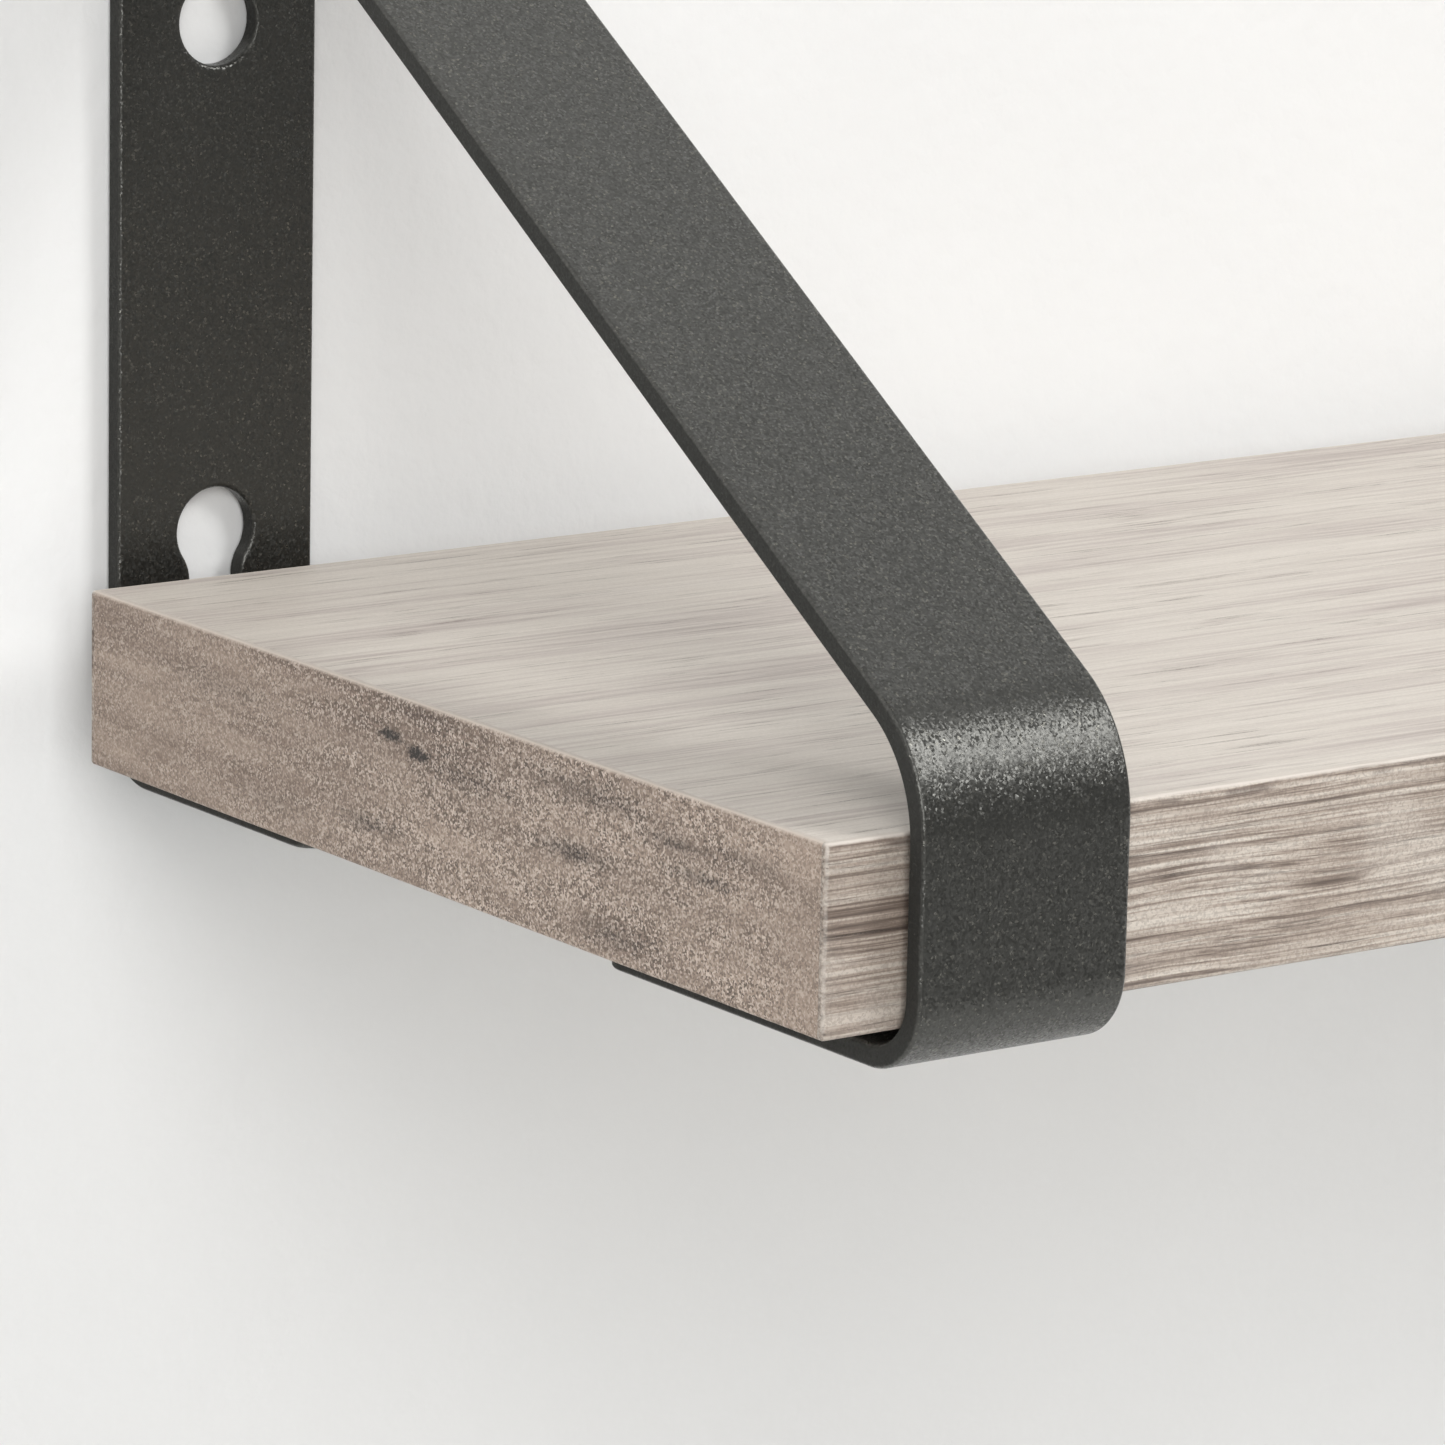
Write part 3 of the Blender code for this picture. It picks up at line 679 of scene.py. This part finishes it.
def keyhole_outline(slot_ahead):
    """Half of a keyhole: round the bulb, over the neck's hollow shoulder, down the slot's side and
    round its end. Growing the hole adds to the bulb and slot and takes from the shoulder."""
    drop = math.sqrt((BULB + NECK) ** 2 - (SLOT + NECK) ** 2)
    shoulder = math.atan2(SLOT + NECK, drop)

    def half(grow):
        sweeps = (
            np.linspace(math.pi, shoulder, 80),
            np.linspace(shoulder + math.pi, 1.5 * math.pi, 30),
            np.linspace(math.pi / 2, 0.0, 40),
        )
        bulb, neck, end = (np.column_stack([np.cos(a), np.sin(a)]) for a in sweeps)
        line = np.concatenate([
            bulb * (BULB + grow),
            [drop, SLOT + NECK] + neck * (NECK - grow),
            [SLOT_REACH, 0.0] + end * (SLOT + grow),
        ])
        into = np.concatenate([-bulb, neck, -end])
        return (line, into) if slot_ahead else (line[::-1] * [-1, 1], into[::-1] * [-1, 1])

    return half


# The leg runs down from the top bend, so a height on it is a distance along the blank. Each hole:
# its middle along the blank, its outline, how far its block reaches before and behind, rows, column.
lower, upper = (starts[LEG] + (joints[LEG][1] - z) for z in (LOWER_KEYHOLE, UPPER_KEYHOLE))
front = joints[0][0] - screw_places["left_front_screw"][1]
rear = starts[REAR] + (joints[REAR][0] - screw_places["left_rear_screw"][1])
hole_list = (
    (front, round_outline(FOOT_HOLE), HOLE_BLOCK, HOLE_BLOCK, *FOOT_HOLE_BLOCK),
    (rear, round_outline(FOOT_HOLE), HOLE_BLOCK, HOLE_BLOCK, *FOOT_HOLE_BLOCK),
    (upper, keyhole_outline(False), SLOT_SIDE, BULB_SIDE, *KEYHOLE_BLOCK),
    (lower, keyhole_outline(True), BULB_SIDE, SLOT_SIDE, *KEYHOLE_BLOCK),
)
bend_rows = [np.linspace(start, end, max(2, 1 + math.ceil(angle / BEND_STEP)))
             for start, end, angle in zip(starts[1::2], starts[2::2], turns)]
hole_rows = [np.linspace(u - before, u + behind, count)
             for u, _, before, behind, count, _ in hole_list]
between = np.unique(np.round(np.concatenate([
    *bend_rows, *hole_rows, np.linspace(starts[BRACE], starts[BRACE + 1], BRACE_ROWS),
]), 8))
columns = np.linspace(-1.0, 1.0, STRIP_COLUMNS)
rows, halves, out = rounded_rows(starts[-1], STRIP_WIDTH, FOOT_CORNER, STRIP_ROLL, between)
holes = [
    ((nearest(rows, u - before), nearest(rows, u + behind), column, STRIP_COLUMNS - 1 - column),
     (u, 0.0), outline)
    for u, outline, before, behind, _, column in hole_list
]

POWDER_GRAINS = 4300.0      # to the metre
POWDER_COLOURS = ((0.25, 15, 15, 13), (0.55, 21, 21, 19), (0.80, 32, 32, 29))
FLECK, SIDE_SHADE, RUBBED_POWDER = (96, 95, 90), (9, 9, 8), (120, 118, 113)
charcoal, tree, shader, place = finish_material(
    "charcoal_powder_coat", Specular_IOR_Level=0.84, Specular_Tint=(1.0, 0.995, 0.93, 1.0),
)
cells = add(tree, "TexVoronoi", {"Vector": place, "Scale": POWDER_GRAINS}).outputs["Color"]
draw = add(tree, "SeparateColor", {0: cells}).outputs
normal = add(tree, "NewGeometry").outputs["Normal"]
# The strip's side faces: painted shade, their colour darkened nearly to black, with a rougher coat
# and no flecks.
shaded_sides = window(tree, coordinate(tree, calc_vector(tree, "ABSOLUTE", normal), "X"), 0.75, 0.97)
fleck = times(tree, window(tree, draw[0], 0.90, 0.99), calc(tree, "SUBTRACT", 1.0, shaded_sides))
mottle = noise(tree, place, 2400.0, detail=3.0, roughness=0.6)
cloud = noise(tree, place, 45.0)
colour = ramp(tree, blend(tree, draw[1], 0.45, mottle, 0.55), POWDER_COLOURS)
colour = tint(tree, fleck, colour, FLECK)
# Painted shade on the strip's side faces.
colour = tint(tree, shaded_sides, colour, SIDE_SHADE)
rub_and_highlight = add(tree, "Attribute", attribute_name="rub").outputs["Fac"]
rub_and_highlight = times(tree, rub_and_highlight, window(tree, noise(tree, place, 2600.0, detail=3.0), 0.40, 0.75))
colour = tint(tree, times(tree, rub_and_highlight, 0.18), colour, RUBBED_POWDER)
tree.links.new(colour, shader.inputs["Base Color"])
tree.links.new(times(tree, fleck, 0.9), shader.inputs["Metallic"])
dull = window(tree, calc(tree, "ADD", mottle, times(tree, cloud, 0.3)), 0.4, 0.9, 0.30, 0.38)
dull = calc(tree, "SUBTRACT", dull, times(tree, fleck, 0.08))
dull = calc(tree, "ADD", dull, times(tree, shaded_sides, 0.5))
tree.links.new(dull, shader.inputs["Roughness"])
# Each grain of powder leans its own way, so that single grains catch the light.
tilt = calc_vector(tree, "SUBTRACT", cells, (0.5, 0.5, 0.5))
lean = window(tree, draw[2], 0.0, 1.0, start=0.14, end=0.40)
tilt = add(tree, "VectorMath", {0: tilt, "Scale": lean}, operation="SCALE").outputs[0]
glint = calc_vector(tree, "NORMALIZE", calc_vector(tree, "ADD", normal, tilt))
relief(tree, shader, mottle, depth=0.00004, strength=0.8, under=glint)

blank, faces, rub = punched_plate(rows, halves, out, columns, STRIP_THICKNESS, STRIP_ROLL, holes)
for side, x in (("left", -bracket_x), ("right", bracket_x)):
    bent = np.clip(bend_blank(blank, x), *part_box(f"{side}_bracket"))
    add_piece(f"{side}_strip", bent, faces, charcoal, "powder_coat", f"{side}_bracket", rub)


# ---------------------------------------------------------------------------------------------
# Pads. Black rubber spacers, 22 x 20 x 1.7 mm, with soft corners and a hole for the screw. They lie
# between the bracket's feet and the board and are held by the screw that goes through them.
# ---------------------------------------------------------------------------------------------
PAD_ROLL, PAD_CORNER = 0.0003, 0.0015
PAD_BLOCK_ROWS = 9
RUBBER_COLOURS = ((0.35, 30, 30, 31), (0.55, 40, 40, 41), (0.75, 62, 61, 60))
RUBBED_RUBBER = (84, 83, 81)
black_rubber, tree, shader, place = finish_material("black_rubber")
grain = noise(tree, place, 1800.0, detail=4.0, roughness=0.65)
dust = noise(tree, place, 160.0, detail=3.0)
colour = ramp(tree, blend(tree, grain, 0.5, dust, 0.5), RUBBER_COLOURS)
rub_and_highlight = add(tree, "Attribute", attribute_name="rub").outputs["Fac"]
colour = tint(tree, times(tree, rub_and_highlight, 0.3), colour, RUBBED_RUBBER)
tree.links.new(colour, shader.inputs["Base Color"])
tree.links.new(window(tree, grain, 0.3, 0.7, 0.70, 0.88), shader.inputs["Roughness"])
relief(tree, shader, grain, depth=0.00008)
for name, spot in screw_places.items():
    pad = name.replace("screw", "pad")
    low, high = np.array(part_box(pad))
    width, depth, thickness = high - low
    over = over_hole(depth / 2, PAD_BLOCK_ROWS)
    rows, halves, out = rounded_rows(depth, width, PAD_CORNER, PAD_ROLL, over)
    columns = np.concatenate([[-1.0], over_hole(0.0, PAD_BLOCK_ROWS) / halves.max(), [1.0]])
    block = (nearest(rows, over[0]), nearest(rows, over[-1]), 1, PAD_BLOCK_ROWS)
    hole = (block, (depth / 2, 0.0), round_outline(FOOT_HOLE))
    points, faces, rub = punched_plate(rows, halves, out, columns, thickness, PAD_ROLL, [hole])
    points = np.column_stack([spot[0] + points[:, 1], low[1] + points[:, 0], high[2] - points[:, 2]])
    add_piece(pad + "_moulded", points, faces, black_rubber, "rubber", pad, rub)


# ---------------------------------------------------------------------------------------------
# Screws. Zinc-plated pan-head wood screws, one up through each foot and pad into the core: a domed
# head with a pressed cross, a shank with a rolled thread, and a tapered point.
# ---------------------------------------------------------------------------------------------
HEAD_RADIUS, HEAD_HEIGHT = 0.0037, 0.0022
ROOT, CREST, PITCH = 0.0015, 0.00195, 0.0016
POINT_LENGTH, POINT_RADIUS, PLAIN_LENGTH = 0.004, 0.0002, 0.002
SEAT_EASE = 0.0001          # the head's flat seat is this much narrower than its rim
CROSS_REACH, CROSS_HALF, CROSS_DEPTH = 0.0021, 0.00042, 0.0012
CROSS_SLOPE, CROSS_END_SLOPE = 0.00018, 0.0005      # widths of the cross's sloping walls
SCREW_SIDES, SHANK_ROWS = 96, 90
CROWN_ANGLE = 60            # degrees: above it the dome's rows are spaced evenly to the axis
CROWN_SHARE = 0.66          # of the head's radius, at that angle
ZINC_COLOURS = ((0.3, 140, 140, 138), (0.5, 178, 179, 180), (0.7, 206, 207, 208))

zinc, tree, shader, place = finish_material("zinc_plate", Metallic=1.0)
scuff = noise(tree, calc_vector(tree, "MULTIPLY", place, (1.0, 1.0, 0.25)), 2200.0, 4.0, 0.6)
haze = noise(tree, place, 420.0)
colour = ramp(tree, blend(tree, scuff, 0.4, haze, 0.6), ZINC_COLOURS)
tree.links.new(colour, shader.inputs["Base Color"])
tree.links.new(window(tree, haze, 0.3, 0.7, 0.24, 0.42), shader.inputs["Roughness"])
relief(tree, shader, scuff, depth=0.00003)


def turned_screw(centre, bottom, top):
    """A closed grid round an upright axis, from the head's crown to the point. The crown is a dome,
    z = (0.35 + 0.65 sin t) of the head's height at radius cos(t)^0.6, pushed in over a cross. The
    thread is a ridge whose height falls linearly with the distance to a helix of the given pitch."""
    around = np.arange(SCREW_SIDES + 1) * 2 * math.pi / SCREW_SIDES
    t = np.radians(np.concatenate([np.linspace(90, CROWN_ANGLE, 10), np.linspace(56, 0, 14)]))
    crown = (math.pi / 2 - t) / math.radians(90 - CROWN_ANGLE) * CROWN_SHARE
    dome = np.clip(np.cos(t), 0, 1) ** 0.6
    crown_r = HEAD_RADIUS * np.where(t > math.radians(CROWN_ANGLE), crown, dome)
    crown_z = -HEAD_HEIGHT * (0.35 + 0.65 * np.sin(t))
    seat = bottom + HEAD_HEIGHT
    shank = np.linspace(0.0, top - seat, SHANK_ROWS)
    taper = np.clip((top - seat - shank) / POINT_LENGTH, 0.0, 1.0)
    shank_r = ROOT * taper + POINT_RADIUS * (1 - taper)
    radius = np.concatenate([crown_r, [HEAD_RADIUS - SEAT_EASE], shank_r])
    height = np.concatenate([seat + crown_z, [seat], seat + shank])
    r, a = np.meshgrid(radius, around, indexing="ij")
    z = np.repeat(height[:, None], SCREW_SIDES + 1, 1)
    phase = ((z - seat) / PITCH - a / (2 * math.pi)) % 1.0
    ridge = np.clip(1 - abs(phase - 0.5) / 0.25, 0, 1) * (CREST - ROOT)
    threaded = taper * np.clip(shank / PLAIN_LENGTH - 1.0, 0, 1)
    cover = np.concatenate([np.zeros(len(crown_r) + 1), threaded])
    r = r + ridge * cover[:, None]
    x, y = r * np.cos(a), r * np.sin(a)
    arms = [np.clip((CROSS_HALF - abs(p)) / CROSS_SLOPE + 0.5, 0, 1)
            * np.clip((CROSS_REACH - abs(q)) / CROSS_END_SLOPE, 0, 1) for p, q in ((x, y), (y, x))]
    on_crown = np.arange(len(radius)) < len(crown_r)
    z = z + CROSS_DEPTH * (np.maximum(*arms) * on_crown[:, None])
    grid = np.dstack([centre[0] + x, centre[1] + y, z])
    grid[-1, :, :2] = centre[:2]
    number = np.arange(grid[..., 0].size).reshape(grid.shape[:2])
    faces = np.concatenate([quads(number[i], number[i + 1]) for i in range(len(number) - 1)])
    return grid.reshape(-1, 3), faces


for name, (low, high) in screws.items():
    turned = turned_screw(screw_places[name], low[2], high[2])
    add_piece(name + "_turned", *turned, zinc, "screw_steel", name)


# ---------------------------------------------------------------------------------------------
# Wall and floor. A white painted wall behind the legs and a pale floor far below. Both show only
# from their painted side, and let light through, so that the shelf can be looked at from behind.
# ---------------------------------------------------------------------------------------------
WALL_Y, ROOM_FRONT, ROOM_HALF = 0.0003, -3.0, 2.2
FLOOR_Z, WALL_TOP = -0.6, 1.6
WALL_COLOURS = ((0.3, 230, 230, 229), (0.7, 234, 234, 233))
wall_paint, tree, shader, place = finish_material("white_wall_paint", Roughness=0.85)
stipple = noise(tree, place, 260.0, detail=4.0, roughness=0.55)
colour = ramp(tree, noise(tree, place, 12.0, detail=3.0), WALL_COLOURS)
tree.links.new(colour, shader.inputs["Base Color"])
tree.links.new(window(tree, stipple, 0.3, 0.7, 0.80, 0.92), shader.inputs["Roughness"])
relief(tree, shader, stipple, depth=0.0004, strength=0.5)
from_behind = add(tree, "NewGeometry").outputs["Backfacing"]
for_shadow = add(tree, "LightPath").outputs["Is Shadow Ray"]
see_through = add(tree, "MixShader", {
    0: calc(tree, "MAXIMUM", from_behind, for_shadow),
    1: shader.outputs[0], 2: add(tree, "BsdfTransparent").outputs[0],
})
tree.links.new(see_through.outputs[0], tree.nodes["Material Output"].inputs["Surface"])
for name, near, far in (
    ("wall", (WALL_Y, FLOOR_Z), (WALL_Y, WALL_TOP)),
    ("floor", (ROOM_FRONT, FLOOR_Z), (WALL_Y, FLOOR_Z)),
):
    quad = [(-ROOM_HALF, *near), (ROOM_HALF, *near), (ROOM_HALF, *far), (-ROOM_HALF, *far)]
    mesh = bpy.data.meshes.new(name)
    mesh.from_pydata(quad, [], [(0, 1, 2, 3)])
    mesh.materials.append(wall_paint)
    panel = bpy.data.objects.new(name, mesh)
    bpy.context.scene.collection.objects.link(panel)


# ---------------------------------------------------------------------------------------------
# Light and camera. Soft boxes: the key from the right in front above, a broad fill from beside the
# camera, and weak ones from low right and from the left above, in an even pale room. The camera
# stands in front to the left, a little above the board, and looks along a long lens.
# ---------------------------------------------------------------------------------------------
AIM = (-0.188, -0.13, 0.0)      # the lights are turned to the front of the left bracket
EYE = (-0.63068, -0.72106, 0.17104)
EYE_DEGREES = (77.3293, -1.1844, -35.3434)
room = bpy.data.worlds.new("pale_room")
room.use_nodes = True
sky = room.node_tree
glow = sky.nodes["Background"].inputs
height = coordinate(sky, add(sky, "TexCoord").outputs["Generated"], "Z")
glow["Color"].default_value = (1.0, 1.0, 1.0, 1.0)
sky.links.new(window(sky, height, 0.1, 0.95, start=0.26, end=0.36), glow["Strength"])
bpy.context.scene.world = room
bpy.context.scene.view_settings.view_transform = "Standard"


def soft_box(name, position, target, side, power):
    """A square white area light at a position, turned to face a target."""
    data = bpy.data.lights.new(name, "AREA")
    data.shape, data.size, data.energy = "SQUARE", side, power
    lamp = bpy.data.objects.new(name, data)
    bpy.context.scene.collection.objects.link(lamp)
    aim = np.array(target) - np.array(position)
    pitch = math.acos(-aim[2] / np.linalg.norm(aim))
    lamp.location = position
    lamp.rotation_euler = (pitch, 0.0, math.atan2(-aim[0], aim[1]))


soft_box("key_light", (0.84, -1.13, 1.13), AIM, 0.62, 15.8)
soft_box("camera_fill", (-0.9, -1.6, 0.6), AIM, 1.0, 18.5)
soft_box("low_right_fill", (1.2, -0.6, -0.45), (-0.1, 0.0, -0.15), 0.7, 2.0)
soft_box("left_top_fill", (-0.9, -0.7, 1.5), AIM, 1.0, 5.0)

camera = bpy.data.cameras.new("camera")
camera.lens, camera.sensor_width = 186.63, 36.0
eye = bpy.data.objects.new("camera", camera)
bpy.context.scene.collection.objects.link(eye)
eye.location = EYE
eye.rotation_euler = tuple(math.radians(angle) for angle in EYE_DEGREES)
bpy.context.scene.camera = eye
